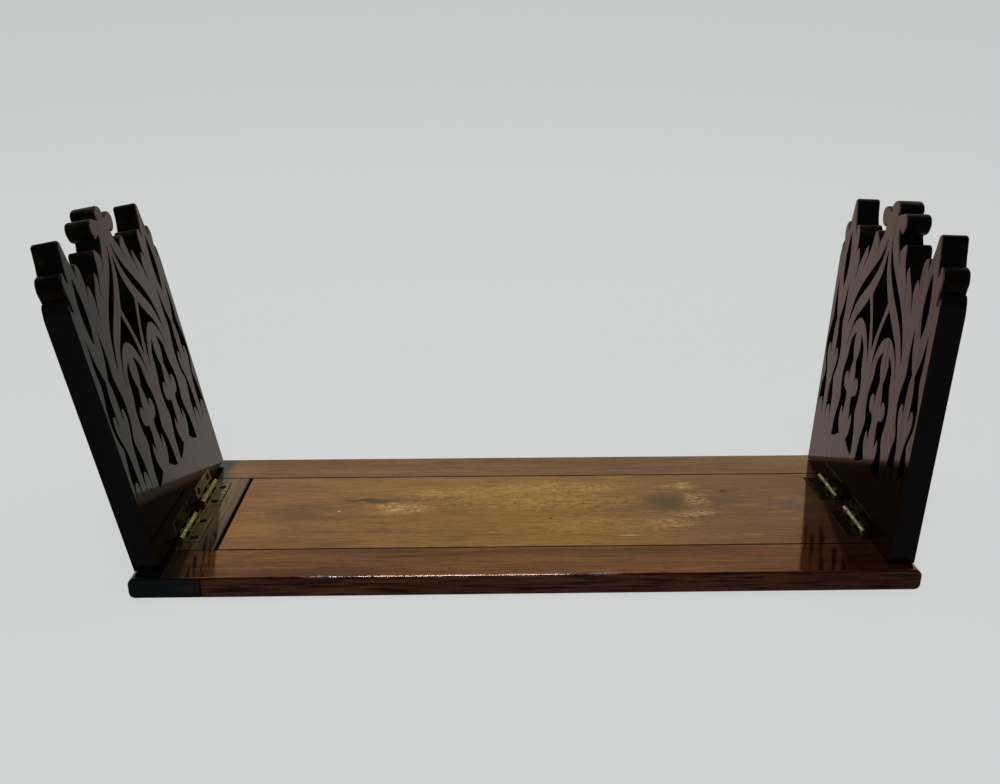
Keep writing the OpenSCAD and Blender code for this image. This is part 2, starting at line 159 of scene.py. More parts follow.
# The hinge pins' distance from the middle, their height, and the radius that the knuckles take up
PIN_X = 174.8
PIN_Z = 12.4
KNUCKLE_R = 1.7
KNUCKLE_SOFT = 0.3

# Settings shared by many nodes: a mix of colours and a soft step
COLOURS = {"data_type": "RGBA", "out": 2}
SOFT_STEP = {"interpolation_type": "SMOOTHSTEP"}
# Inputs of a mix: its share, two numbers, and two colours
SHARE, FIRST, SECOND, UNDER, OVER = 0, 2, 3, 6, 7


def linear(code):
    """The linear colour of an sRGB hex code such as "8a5a2c"."""
    parts = [int(code[i:i + 2], 16) / 255 for i in (0, 2, 4)]
    parts = [c / 12.92 if c <= 0.04045 else ((c + 0.055) / 1.055) ** 2.4 for c in parts]
    return (*parts, 1.0)


def add(tree, kind, inputs=None, out=0, ramp=None, **settings):
    """Adds a shader node and gives its output out. inputs maps an input's name or number to a
    value or a socket, and ramp lists places and colours."""
    node = tree.nodes.new("ShaderNode" + kind)
    for name, value in settings.items():
        setattr(node, name, value)
    for name, value in (inputs or {}).items():
        if isinstance(value, bpy.types.NodeSocket):
            tree.links.new(value, node.inputs[name])
        else:
            node.inputs[name].default_value = value
    if ramp:
        stops = node.color_ramp.elements
        while len(stops) < len(ramp):
            stops.new(1.0)
        for stop, (place, code) in zip(stops, ramp):
            stop.position = place
            stop.color = linear(code)
    return node.outputs[out] if len(node.outputs) else None


def new_material(name):
    """An empty material, its node tree and the place on the object in metres."""
    material = bpy.data.materials.new(name)
    material.use_nodes = True
    tree = material.node_tree
    tree.nodes.clear()
    return material, tree, add(tree, "TexCoord", out="Object")


def grain(tree, place, sizes_mm, detail=3.0, warp=0.0, shift=0.0):
    """A pattern of streaks or clouds with the given sizes in millimetres along X, Y and Z."""
    mapped = add(tree, "Mapping", {
        "Vector": place, "Scale": tuple(1 / (s * MM) for s in sizes_mm),
        "Location": (shift, shift, shift)})
    return add(tree, "TexNoise", {
        "Vector": mapped, "Scale": 1.0, "Detail": detail, "Roughness": 0.55, "Distortion": warp})


def oval(tree, place, middle_mm, half_mm, soft):
    """1 in the middle of an oval mark, 0 outside it, with a soft edge."""
    mapped = add(tree, "Mapping", {
        "Vector": place, "Scale": tuple(1 / (h * MM) for h in half_mm),
        "Location": tuple(-m / h for m, h in zip(middle_mm, half_mm))})
    far = add(tree, "VectorMath", {0: mapped}, out="Value", operation="LENGTH")
    return add(tree, "MapRange", {
        "Value": far, "From Min": 1.0, "From Max": 1.0 - soft}, **SOFT_STEP)


def ragged(tree, place, reach_mm, size_mm):
    """The place shaken by up to half of reach, so that marks drawn on it get ragged edges."""
    shake = add(tree, "TexNoise", {
        "Vector": place, "Scale": 1 / (size_mm * MM), "Detail": 4.0}, out="Color")
    centred = add(tree, "VectorMath", {0: shake, 1: (0.5, 0.5, 0.5)}, operation="SUBTRACT")
    reach = reach_mm * MM
    return add(tree, "VectorMath", {
        0: centred, 1: (reach, reach, reach), 2: place}, operation="MULTIPLY_ADD")


def toned(tree, colour, pattern, low, high, strength, code):
    """The colour with another laid over it, more and more as a pattern goes from low to high."""
    share = add(tree, "MapRange", {
        "Value": pattern, "From Min": low, "From Max": high, "To Max": strength}, **SOFT_STEP)
    return add(tree, "Mix", {SHARE: share, UNDER: colour, OVER: linear(code)}, **COLOURS)


def marked(tree, place, colour, marks, soft, texture=None):
    """The colour with oval marks of the base's top laid over it, broken up by a texture where one
    is given."""
    for middle, half, code, strength in marks:
        share = oval(tree, place, middle + (BASE_TOP,), half + (MARK_DEPTH,), soft)
        if texture is not None:
            share = add(tree, "Math", {0: share, 1: texture}, operation="MULTIPLY")
        share = add(tree, "Math", {0: share, 1: strength}, operation="MULTIPLY")
        colour = add(tree, "Mix", {SHARE: share, UNDER: colour, OVER: linear(code)}, **COLOURS)
    return colour


def hazy_gloss(tree, place, sizes_mm, shift, smooth, dull):
    """The roughness of an old polish, smooth in places and a little dull in others."""
    haze = grain(tree, place, sizes_mm, detail=3, shift=shift)
    return add(tree, "MapRange", {
        "Value": haze, "From Min": 0.3, "From Max": 0.75, "To Min": smooth, "To Max": dull},
        **SOFT_STEP)


def polished_wood(tree, colour, roughness, bump, fibre_shine, specular, film, bump_mm):
    """French polish: a clear hard film that mirrors the room, over fibres that shine in the wood's
    own colour. Bare wood has no film and no shine."""
    normal = add(tree, "Bump", {"Height": bump, "Strength": 0.25, "Distance": bump_mm * MM})
    surface = add(tree, "BsdfPrincipled", {
        "Base Color": colour, "Roughness": roughness, "Normal": normal, "Metallic": fibre_shine,
        "Specular IOR Level": specular, "Specular Tint": linear("fff0d8"),
        "Coat Weight": film, "Coat Roughness": 0.04})
    add(tree, "OutputMaterial", {"Surface": surface})


def seam_dirt(tree, place, colour, end_joint=1.0):
    """The colour with the dark lines of old polish that gather where the pieces of the base meet,
    along the rails and across the base at the fixed end. end_joint is how much of that second line
    there is, a number or a socket."""
    at = add(tree, "SeparateXYZ", {0: place}).node.outputs
    across = add(tree, "Math", {0: at["Y"]}, operation="ABSOLUTE")
    for line, seam, strength in ((across, SEAM_Y, 1.0), (at["X"], -SEAM_X, end_joint)):
        off = add(tree, "Math", {0: line, 1: seam * MM}, operation="SUBTRACT")
        off = add(tree, "Math", {0: off}, operation="ABSOLUTE")
        share = add(tree, "MapRange", {
            "Value": off, "From Min": SEAM_DIRT[0] * MM, "From Max": SEAM_DIRT[1] * MM,
            "To Max": 0.9}, **SOFT_STEP)
        share = add(tree, "Math", {0: share, 1: strength}, operation="MULTIPLY")
        colour = add(tree, "Mix", {SHARE: share, UNDER: colour, OVER: linear("170d08")}, **COLOURS)
    return colour


def golden_board_wood():
    # Figured walnut, french polished: golden brown, faded where books stood, with a burr right of
    # the middle
    material, tree, place = new_material("walnut_french_polished")
    bands = grain(tree, place, (90, 14, 14), detail=4, warp=0.8)
    lines = grain(tree, place, (22, 1.1, 1.1), detail=6, warp=0.3)
    pores = grain(tree, place, (5, 0.7, 0.7), detail=2, shift=7.0)
    curl = grain(tree, place, (5.5, 1.8, 1.8), detail=6, warp=1.6, shift=3.0)
    # Tones from the left end to the right, which change along the growth bands
    along = add(tree, "SeparateXYZ", {0: place}, out="X")
    stretch = add(tree, "MapRange", {
        "Value": along, "From Min": BOARD_SPAN[0] * MM, "From Max": BOARD_SPAN[1] * MM})
    waver = add(tree, "Math", {0: bands, 1: 0.3, 2: -0.15}, operation="MULTIPLY_ADD")
    stretch = add(tree, "Math", {0: stretch, 1: waver}, operation="ADD")
    colour = add(tree, "ValToRGB", {"Fac": stretch}, ramp=[
        (0.0, "926034"), (0.25, "a07038"), (0.42, "a67534"), (0.6, "9f6f34"),
        (0.76, "855a32"), (1.0, "694230")])
    # Light and dark growth bands, then the fine lines and pores in them
    for pattern, low, high, strength, code in (
            (bands, 0.5, 0.72, 0.35, "bd8d49"), (bands, 0.48, 0.3, 0.4, "6b4726"),
            (lines, 0.5, 0.68, 0.6, "5f3c1d"), (lines, 0.44, 0.28, 0.5, "c99a55"),
            (pores, 0.56, 0.68, 0.45, "3a2412")):
        colour = toned(tree, colour, pattern, low, high, strength, code)
    # Dark and pale figure, broken up by the curl of the fibres, then dull stains and knots
    shaken = ragged(tree, place, 12, 8)
    shade = add(tree, "MapRange", {"Value": curl, "From Min": 0.5, "From Max": 0.32}, **SOFT_STEP)
    light = add(tree, "MapRange", {"Value": curl, "From Min": 0.4, "From Max": 0.64}, **SOFT_STEP)
    colour = marked(tree, shaken, colour, DARK_FIGURE, 0.8, shade)
    colour = marked(tree, shaken, colour, PALE_FIGURE, 0.8, light)
    colour = marked(tree, shaken, colour, DULL_FIGURE, 0.8)
    colour = marked(tree, place, colour, KNOTS, 0.6)
    colour = seam_dirt(tree, place, colour)
    roughness = hazy_gloss(tree, place, (30, 14, 14), 11.0, smooth=0.06, dull=0.13)
    polished_wood(tree, colour, roughness, lines,
                  fibre_shine=0.84, specular=0.12, film=0.18, bump_mm=0.03)
    return material


def stained_and_shaded_sides(tree, place, colour, side, lines, darkening, strength):
    """The colour darkened on the faces that side marks, darker towards the free end, with dark
    pores
    filled in: painted shade on the rails, and dark stained end grain on the end blocks."""
    along = add(tree, "SeparateXYZ", {0: ragged(tree, place, 30, 20)}, out="X")
    tone = toned(tree, linear(darkening), along, FREE_END[0] * MM, FREE_END[1] * MM, 0.75, "251a1c")
    share = add(tree, "Math", {0: side, 1: strength}, operation="MULTIPLY")
    colour = add(tree, "Mix", {SHARE: share, UNDER: colour, OVER: tone}, **COLOURS)
    streaks = add(tree, "MapRange", {
        "Value": lines, "From Min": 0.47, "From Max": 0.62, "To Max": 0.75}, **SOFT_STEP)
    share = add(tree, "Math", {0: side, 1: streaks}, operation="MULTIPLY")
    return add(tree, "Mix", {SHARE: share, UNDER: colour, OVER: linear("170b08")}, **COLOURS)


def worn_and_highlit_arris(tree, place, colour):
    """The colour with the front arris painted pale in the middle, as rubbed polish and a painted
    highlight, and nicked towards the left.
    """
    shaken = ragged(tree, place, 1.2, 1.5)
    for marks, code, strength in ((RUBBED_AND_HIGHLIT, "e6cfc2", 0.8), (NICKS, "0d0705", 0.9)):
        for along, half in marks:
            share = oval(
                tree, shaken, (along, ARRIS_Y, BASE_TOP), (half, ARRIS_HALF, ARRIS_HALF), 0.5)
            share = add(tree, "Math", {0: share, 1: strength}, operation="MULTIPLY")
            colour = add(
                tree, "Mix", {SHARE: share, UNDER: colour, OVER: linear(code)}, **COLOURS)
    return colour


def straight_wood(name, dark, middle, light, line, across=False, side_stain_and_shade=None, darkening=0.6,
                  end_dark_reflection=None, end_reach=(-158, -172), end_joint=True):
    """Straight-grained polished wood with its grain along X, or along Y where it lies across the
    base. Where a side colour is given, the side faces are darkened with it by the given share:
    painted shade on the rails, and dark stained end grain on the end blocks. A dark colour given
    for the fixed end is a painted dark reflection of the fret end, from nothing to full between the
    two places of end_reach in millimetres. end_joint tells whether the joint at the fixed end
    shows, and on pieces with darkened sides it shows on the sides only."""
    material, tree, place = new_material(name)
    order = (1, 0, 2) if across else (0, 1, 2)
    bands, lines, pores = [
        grain(tree, place, [sizes[i] for i in order], detail=detail, warp=warp, shift=shift)
        for sizes, detail, warp, shift in (
            ((120, 9, 9), 4, 0.6, 2.0), ((26, 1.1, 1.1), 6, 0.3, 5.0),
            ((6, 0.7, 0.7), 2, 0.0, 9.0))]
    colour = add(tree, "ValToRGB", {"Fac": bands}, ramp=[(0.3, dark), (0.5, middle), (0.7, light)])
    for pattern, low, high, strength, code in (
            (lines, 0.48, 0.66, 0.65, line), (lines, 0.44, 0.28, 0.45, light),
            (pores, 0.56, 0.68, 0.5, "1d0e07")):
        colour = toned(tree, colour, pattern, low, high, strength, code)
    colour = marked(tree, ragged(tree, place, 6, 8), colour, RAIL_MARKS, 0.8)
    joint = 1.0 if end_joint else 0.0
    # Side faces darkened: painted shade on the rails, dark stained end grain on the end blocks
    if side_stain_and_shade:
        facing = add(tree, "SeparateXYZ", {0: add(tree, "TexCoord", out="Normal")}, out="Z")
        side = add(tree, "MapRange", {
            "Value": facing, "From Min": 0.75, "From Max": 0.4}, **SOFT_STEP)
        joint = side if end_joint else 0.0
        colour = stained_and_shaded_sides(tree, place, colour, side, lines, side_stain_and_shade, darkening)
    # A painted dark reflection of the fret end, laid on near the fixed end
    if end_dark_reflection:
        along = add(tree, "SeparateXYZ", {0: ragged(tree, place, 8, 12)}, out="X")
        colour = toned(
            tree, colour, along, end_reach[0] * MM, end_reach[1] * MM, 0.9, end_dark_reflection)
    colour = seam_dirt(tree, place, colour, joint)
    colour = worn_and_highlit_arris(tree, place, colour)
    roughness = hazy_gloss(tree, place, (26, 12, 12), 1.0, smooth=0.05, dull=0.11)
    polished_wood(tree, colour, roughness, lines,
                  fibre_shine=0.84, specular=0.12, film=0.18, bump_mm=0.03)
    return material


def front_rail_wood():
    # Straight-grained rosewood, french polished: reddish brown with dark lines, and a painted shade
    # that makes the front face darker
    return straight_wood(
        "rosewood_rail_french_polished", "623518", "7e4a22", "92602f", "42200e", side_stain_and_shade="633a31")


def rear_rail_wood():
    # The same rosewood, faded to a greyer brown by the light at the back
    # Its side faces are painted darker, as painted shade
    return straight_wood(
        "rosewood_rail_faded_polished", "6f4a2c", "875e39", "966d44", "4c301a", side_stain_and_shade="54302a",
        end_joint=False)


def front_block_wood():
    # The same rosewood with its end grain stained nearly black at the fixed side, and a painted
    # dark reflection of the fret end on its top towards that side
    return straight_wood(
        "rosewood_end_dark_polished", "643a20", "7c4d2b", "8f6338", "452413", side_stain_and_shade="22242a",
        darkening=0.92, end_dark_reflection="142023")


def rear_block_wood():
    # The faded rosewood again, closely jointed to its rail, with a green-black painted dark
    # reflection of the fret end in the corner
    return straight_wood(
        "rosewood_end_faded_polished", "76492f", "8f623f", "9d714a", "54331d", side_stain_and_shade="22242a",
        darkening=0.92, end_dark_reflection="05302f", end_reach=(-167, -172), end_joint=False)


def hinge_block_wood():
    # Walnut with its grain from front to back, dulled by handling round the hinges
    return straight_wood(
        "walnut_cross_grain_dull", "57472f", "6d5a3d", "7d6846", "3d2f1b", across=True)


def painted_dark_reflection(tree, at, way, flat):
    """1 where the foot of the fret ends' inner faces is painted dark and dull as a painted
    reflection of the base, below a line that rises towards the front."""
    rise = add(tree, "MapRange", {
        "Value": at["X"], "From Min": -END_X * MM, "From Max": END_X * MM,
        "To Min": REFLECTION_RISE[0], "To Max": REFLECTION_RISE[1]})
    front = add(tree, "Math", {0: REFLECTION_BACK * MM, 1: at["Y"]}, operation="SUBTRACT")
    line = add(tree, "Math", {0: front, 1: rise, 2: REFLECTION_LOW * MM}, operation="MULTIPLY_ADD")
    above = add(tree, "Math", {0: at["Z"], 1: line}, operation="SUBTRACT")
    mirrored_dark = add(tree, "MapRange", {
        "Value": above, "From Min": REFLECTION_SOFT[0] * MM, "From Max": REFLECTION_SOFT[1] * MM,
        "To Max": 0.95}, **SOFT_STEP)
    inward = add(tree, "Math", {0: way, 1: at["X"]}, operation="MULTIPLY")
    inward = add(tree, "Math", {0: inward, 1: 0.0}, operation="LESS_THAN")
    inward = add(tree, "Math", {0: inward, 1: flat}, operation="MULTIPLY")
    return add(tree, "Math", {0: mirrored_dark, 1: inward}, operation="MULTIPLY")


def fret_wood():
    # Nearly black rosewood: mirror polish on the faces and outer edges, matt in the sawn openings
    material, tree, place = new_material("rosewood_fret_ebonised")
    at = add(tree, "SeparateXYZ", {0: place}).node.outputs
    streaks = grain(tree, place, (3, 3, 70), detail=5, warp=0.3)
    # Tones from front to back, paler on the right, with dark streaks
    depth = add(tree, "SeparateXYZ", {0: ragged(tree, place, 60, 40)}, out="Y")
    depth = add(tree, "MapRange", {
        "Value": depth, "From Min": -TONE_HALF * MM, "From Max": TONE_HALF * MM})
    colour = add(tree, "ValToRGB", {"Fac": depth}, ramp=[
        (0.0, "22302f"), (0.22, "352f32"), (0.45, "5e3537"), (0.7, "69423d"), (1.0, "5a3f40")])
    faded = add(tree, "MapRange", {
        "Value": at["X"], "From Min": 0.0, "From Max": END_X * MM, "To Max": 0.75})
    colour = add(tree, "Mix", {SHARE: faded, UNDER: colour, OVER: linear("a3726a")}, **COLOURS)
    colour = toned(tree, colour, streaks, 0.5, 0.7, 0.5, "24100e")
    # The flat faces are told by the way they look, and the outer edges by their place
    way = add(tree, "SeparateXYZ", {0: add(tree, "TexCoord", out="Normal")}, out="X")
    facing = add(tree, "Math", {0: way}, operation="ABSOLUTE")
    flat = add(tree, "MapRange", {"Value": facing, "From Min": 0.5, "From Max": 0.8}, **SOFT_STEP)
    across = add(tree, "Math", {0: at["Y"]}, operation="ABSOLUTE")
    rim = add(tree, "MapRange", {
        "Value": across, "From Min": FRET_SIDE[0] * MM, "From Max": FRET_SIDE[1] * MM},
        **SOFT_STEP)
    polished = add(tree, "Math", {0: flat, 1: rim}, operation="MAXIMUM")
    # The painted dark reflection of the base: near black colour and less specular at the foot of
    # the inner faces
    mirrored_dark = painted_dark_reflection(tree, at, way, flat)
    colour = add(tree, "Mix", {SHARE: mirrored_dark, UNDER: colour, OVER: linear("0a0606")}, **COLOURS)
    dirt = grain(tree, place, (9, 9, 9), detail=4, shift=4.0)
    sawn = toned(tree, linear("0b0808"), dirt, 0.5, 0.72, 0.5, "3d2f27")
    edge = add(tree, "Mix", {SHARE: rim, UNDER: sawn, OVER: linear("1a161d")}, **COLOURS)
    colour = add(tree, "Mix", {SHARE: flat, UNDER: edge, OVER: colour}, **COLOURS)
    gloss = hazy_gloss(tree, place, (40, 40, 60), 6.0, smooth=0.05, dull=0.13)
    roughness = add(tree, "Mix", {SHARE: polished, FIRST: 0.42, SECOND: gloss})
    specular = add(tree, "MapRange", {"Value": mirrored_dark, "To Min": 0.13, "To Max": 0.0})
    polished_wood(tree, colour, roughness, streaks,
                  fibre_shine=0.12, specular=specular, film=0.0, bump_mm=0.02)
    return material


def tie_wood():
    # Plain pine, planed and never polished: pale brown, matt, with soft growth lines
    material, tree, place = new_material("pine_planed_bare")
    lines = grain(tree, place, (3.5, 90, 3.5), detail=4, warp=0.4)
    dirt = grain(tree, place, (22, 22, 22), detail=4, shift=8.0)
    colour = add(tree, "ValToRGB", {"Fac": lines}, ramp=[
        (0.35, "6e5232"), (0.55, "8d6d45"), (0.7, "a07f54")])
    colour = toned(tree, colour, dirt, 0.48, 0.7, 0.5, "47361f")
    roughness = add(tree, "MapRange", {
        "Value": dirt, "From Min": 0.3, "From Max": 0.7, "To Min": 0.55, "To Max": 0.75},
        **SOFT_STEP)
    polished_wood(tree, colour, roughness, lines,
                  fibre_shine=0.0, specular=0.35, film=0.0, bump_mm=0.15)
    return material


def shaded_plates(tree, place, colour, darkening):
    """The colour darkened on the plates of the hinges, but not on their knuckles: a painted dark
    reflection.
    """
    sides = add(tree, "VectorMath", {0: place}, operation="ABSOLUTE")
    off = add(tree, "VectorMath", {
        0: sides, 1: (PIN_X * MM, 0, PIN_Z * MM)}, operation="SUBTRACT")
    off = add(tree, "VectorMath", {0: off, 1: (1, 0, 1)}, operation="MULTIPLY")
    off = add(tree, "VectorMath", {0: off}, out="Value", operation="LENGTH")
    plate = add(tree, "MapRange", {
        "Value": off, "From Min": KNUCKLE_R * MM, "From Max": (KNUCKLE_R + KNUCKLE_SOFT) * MM},
        **SOFT_STEP)
    return add(tree, "Mix", {
        SHARE: plate, UNDER: colour, OVER: linear(darkening)}, blend_type="MULTIPLY", **COLOURS)


def aged_metal(name, bright, dull, tarnish, smooth, rough, edge="ffffff", plate_shade=None):
    """Old metal, rubbed bright in places and grown dull and dark in others, with a roughness from
    smooth to rough. edge tints what it mirrors at a low angle."""
    material, tree, place = new_material(name)
    cloud = grain(tree, place, (5, 5, 5), detail=5, warp=0.8)
    grime = grain(tree, place, (2.2, 2.2, 2.2), detail=4, shift=3.0)
    colour = toned(tree, linear(bright), cloud, 0.36, 0.62, 1.0, dull)
    colour = toned(tree, colour, grime, 0.5, 0.68, 0.8, tarnish)
    if plate_shade:
        colour = shaded_plates(tree, place, colour, plate_shade)
    roughness = add(tree, "MapRange", {
        "Value": cloud, "From Min": 0.3, "From Max": 0.7, "To Min": smooth, "To Max": rough},
        **SOFT_STEP)
    normal = add(tree, "Bump", {"Height": grime, "Strength": 0.2, "Distance": 0.05 * MM})
    surface = add(tree, "BsdfPrincipled", {
        "Base Color": colour, "Roughness": roughness, "Metallic": 0.9,
        "Specular Tint": linear(edge), "Normal": normal})
    add(tree, "OutputMaterial", {"Surface": surface})
    return material


def leaf_brass():
    # Old rolled brass: dull yellow-green, brown where polish and dust have settled
    return aged_metal(
        "brass_leaf_aged", "8f7f3d", "61562a", "231e0f", smooth=0.08, rough=0.26)


def shaded_leaf_brass():
    # The same brass with its plates painted nearly black as a painted dark reflection of the room,
    # and its knuckles left bright
    return aged_metal(
        "brass_leaf_tarnish_and_shade", "b4a880", "80785a", "302c20", smooth=0.08, rough=0.26,
        edge="8c866e", plate_shade="9c9a66")


def pin_brass():
    # Drawn brass wire, brighter than the leaves because it is rubbed as the ends fold
    return aged_metal(
        "brass_pin_rubbed", "b49f63", "86753f", "3c321a", smooth=0.22, rough=0.38)


def screw_iron():
    # Turned iron screws gone dark brown, with rubbed rims that still catch a little light
    return aged_metal(
        "iron_screw_browned", "504837", "332d22", "120f0b", smooth=0.3, rough=0.5, edge="857b66")


def flat_of(face):
    """The plane a face lies in, rounded, so that faces of one flat share it."""
    level = face.normal.dot(face.verts[0].co)
    return tuple(round(c, 3) for c in face.normal) + (round(level / FLAT_STEP),)


def corner_normals(shape):
    """A normal for each face corner: faces that meet at a blunt edge share the normal of the
    widest of them."""
    wide = {}
    for face in shape.faces:
        wide[flat_of(face)] = wide.get(flat_of(face), 0.0) + face.calc_area()
    shares = {}
    for vert in shape.verts:
        left = set(vert.link_faces)
        while left:
            group = [left.pop()]
            for face in group:
                for edge in face.edges:
                    if vert in edge.verts:
                        for other in edge.link_faces:
                            if other in left and face.normal.dot(other.normal) > math.cos(SHARP):
                                left.remove(other)
                                group.append(other)
            total = sum((face.normal * wide[flat_of(face)] for face in group), Vector())
            for face in group:
                shares[vert.index, face.index] = total.normalized()
    return [shares[loop.vert.index, face.index] for face in shape.faces for loop in face.loops]


def stand_in(node, shape, material):
    """Makes the piece that stands for a CAD node from a finished shape, on the node's body."""
    shape.verts.index_update()
    shape.faces.index_update()
    for face in shape.faces:
        face.smooth = True
        face.material_index = 0
    normals = corner_normals(shape)
    mesh = bpy.data.meshes.new(node + "_finished")
    shape.to_mesh(mesh)
    shape.free()
    mesh.normals_split_custom_set(normals)
    mesh.materials.append(material)
    piece = bpy.data.objects.new(node + "_finished", mesh)
    bpy.context.scene.collection.objects.link(piece)
    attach(piece, body_of_node[node])
    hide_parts(node)


def merged(node):
    """A copy of a CAD node's mesh with its loose triangles joined."""
    shape = bmesh.new()
    shape.from_mesh(nodes[node].data)
    bmesh.ops.remove_doubles(shape, verts=shape.verts, dist=WELD)
    return shape


def finished(node, edge, material):
    """A board or leaf with its sharp edges softened."""
    shape = merged(node)
    bmesh.ops.dissolve_limit(shape, angle_limit=FLAT_ANGLE, verts=shape.verts, edges=shape.edges)
    mesh = bpy.data.meshes.new(node + "_sharp")
    shape.to_mesh(mesh)
    shape.free()
    sharp = bpy.data.objects.new(node + "_sharp", mesh)
    bpy.context.scene.collection.objects.link(sharp)
    soft = sharp.modifiers.new("soft_edges", "BEVEL")
    soft.width = edge
    soft.segments = EDGE_STEPS
    soft.limit_method = "ANGLE"
    soft.angle_limit = EDGE_ANGLE
    soft.use_clamp_overlap = False
    graph = bpy.context.evaluated_depsgraph_get()
    final = bpy.data.meshes.new_from_object(sharp.evaluated_get(graph))
    bpy.data.objects.remove(sharp)
    shape = bmesh.new()
    shape.from_mesh(final)
    stand_in(node, shape, material)


def in_blocks(points):
    """The points in blocks that are small enough to measure at once."""
    return np.array_split(points, max(1, len(points) // POINTS_AT_ONCE))


def rim_distance(points, start, end):
    """Distance of each point from the nearest rim piece, that piece's number and the share along
    it."""
    along = end - start
    length2 = np.maximum((along ** 2).sum(1), TINY ** 2)
    found = []
    for block in in_blocks(points):
        share = np.clip(((block[:, None] - start) * along).sum(2) / length2, 0, 1)
        far = np.linalg.norm(block[:, None] - start - share[..., None] * along, axis=2)
        near = far.argmin(1)
        rows = np.arange(len(block))
        found.append((far[rows, near], near, share[rows, near]))
    return [np.concatenate(parts) for parts in zip(*found)]


def within(points, start, end):
    """Which points lie inside the rim, by counting the rim pieces to their right."""
    inside = []
    for block in in_blocks(points):
        x, y = block[:, :1], block[:, 1:]
        spans = (start[:, 1] > y) != (end[:, 1] > y)
        rise = np.where(end[:, 1] == start[:, 1], 1.0, end[:, 1] - start[:, 1])
        cross = start[:, 0] + (y - start[:, 1]) / rise * (end[:, 0] - start[:, 0])
        inside.append((spans & (cross > x)).sum(1) % 2 == 1)
    return np.concatenate(inside)


def rim_rings(flat, edges, radius, start, end):
    """Rings of points inside a rim at the steps of its quarter circle, the links between them, and
    the distance that each should keep from the rim."""
    length = np.maximum(np.linalg.norm(end - start, axis=1), TINY)
    side = (end - start) / length[:, None]
    inward = np.stack([-side[:, 1], side[:, 0]], 1)
    leaves = {i: k for k, (i, j) in enumerate(edges)}
    arrives = {j: k for k, (i, j) in enumerate(edges)}
    spots, wanted, turns, rings = [], [], [], []
    for step in RIM_STEPS:
        depth = 1 - math.cos(math.radians(step))
        first, last = {}, {}
        for i in range(len(flat)):
            before, after = inward[arrives[i]], inward[leaves[i]]
            middle = before + after
            turn = before[0] * after[1] - before[1] * after[0]
            if turn >= 0:
                ways = [middle / max(MITRE_LIMIT, 1 + before.dot(after))]
            else:
                ways = [before, middle / max(MITRE_LIMIT, np.linalg.norm(middle)), after]
            first[i] = len(spots)
            for way in ways:
                spots.append(flat[i] + way * radius[i] * depth)
                wanted.append(radius[i] * depth)
            last[i] = len(spots) - 1
            turns += [(k, k + 1) for k in range(first[i], last[i])]
        rings += [(last[i], first[j]) for i, j in edges]
    return np.array(spots), turns + rings, np.array(wanted)


def round_rim(shape, faces, radius_at):
    """Fills a flat again so that it rolls over its rim along a quarter circle of the radius wanted
    at each place."""
    normal = faces[0].normal.copy()
    across = normal.orthogonal().normalized()
    up = normal.cross(across)
    members = set(faces)
    rim = [loop for face in faces for loop in face.loops
           if any(other not in members for other in loop.edge.link_faces)]
    verts = [loop.vert for loop in rim]
    number = {vert: i for i, vert in enumerate(verts)}
    edges = [(number[loop.vert], number[loop.link_loop_next.vert]) for loop in rim]
    flat = np.array([(vert.co.dot(across), vert.co.dot(up)) for vert in verts])
    radius = np.array([radius_at(vert.co) for vert in verts])
    start, end = flat[[i for i, j in edges]], flat[[j for i, j in edges]]

    # Points of the rings, kept where no other part of the rim is nearer
    spots, links, wanted = rim_rings(flat, edges, radius, start, end)
    far = rim_distance(spots, start, end)[0]
    kept = (far > RIM_CLEAR * wanted) & within(spots, start, end)
    place = {old: len(flat) + new for new, old in enumerate(np.flatnonzero(kept))}
    points = [Vector(p / MM) for p in np.concatenate([flat, spots[kept]])]
    ties = edges + [(place[i], place[j]) for i, j in links if i in place and j in place]
    found, _, triangles, sources, _, _ = delaunay_2d_cdt(points, ties, [], 0, MESH_GAP)

    # Triangles inside the rim, sunk along the quarter circle
    found = np.array([tuple(p) for p in found]) * MM
    triangles = np.array(triangles)
    triangles = triangles[within(found[triangles].mean(1), start, end)]
    far, near, share = rim_distance(found, start, end)
    ends = np.array(edges)[near]
    local = radius[ends[:, 0]] * (1 - share) + radius[ends[:, 1]] * share
    short = np.clip(local - far, 0, None)
    sunk = local - np.sqrt(np.maximum(local ** 2 - short ** 2, 0))
    level = faces[0].verts[0].co.dot(normal)
    bmesh.ops.delete(shape, geom=faces, context="FACES_ONLY")
    loose = [edge for edge in shape.edges if not edge.link_faces]
    bmesh.ops.delete(shape, geom=loose, context="EDGES")
    used = {}
    for triangle in triangles:
        for i in triangle:
            if i not in used:
                rims = [k for k in sources[i] if k < len(flat)]
                used[i] = verts[rims[0]] if rims else shape.verts.new(
                    across * found[i, 0] + up * found[i, 1] + normal * (level - sunk[i]))
        corners = [used[i] for i in triangle]
        if len(set(corners)) == 3:
            shape.faces.new(corners)
    for vert, deep in zip(verts, radius):
        vert.co -= normal * deep


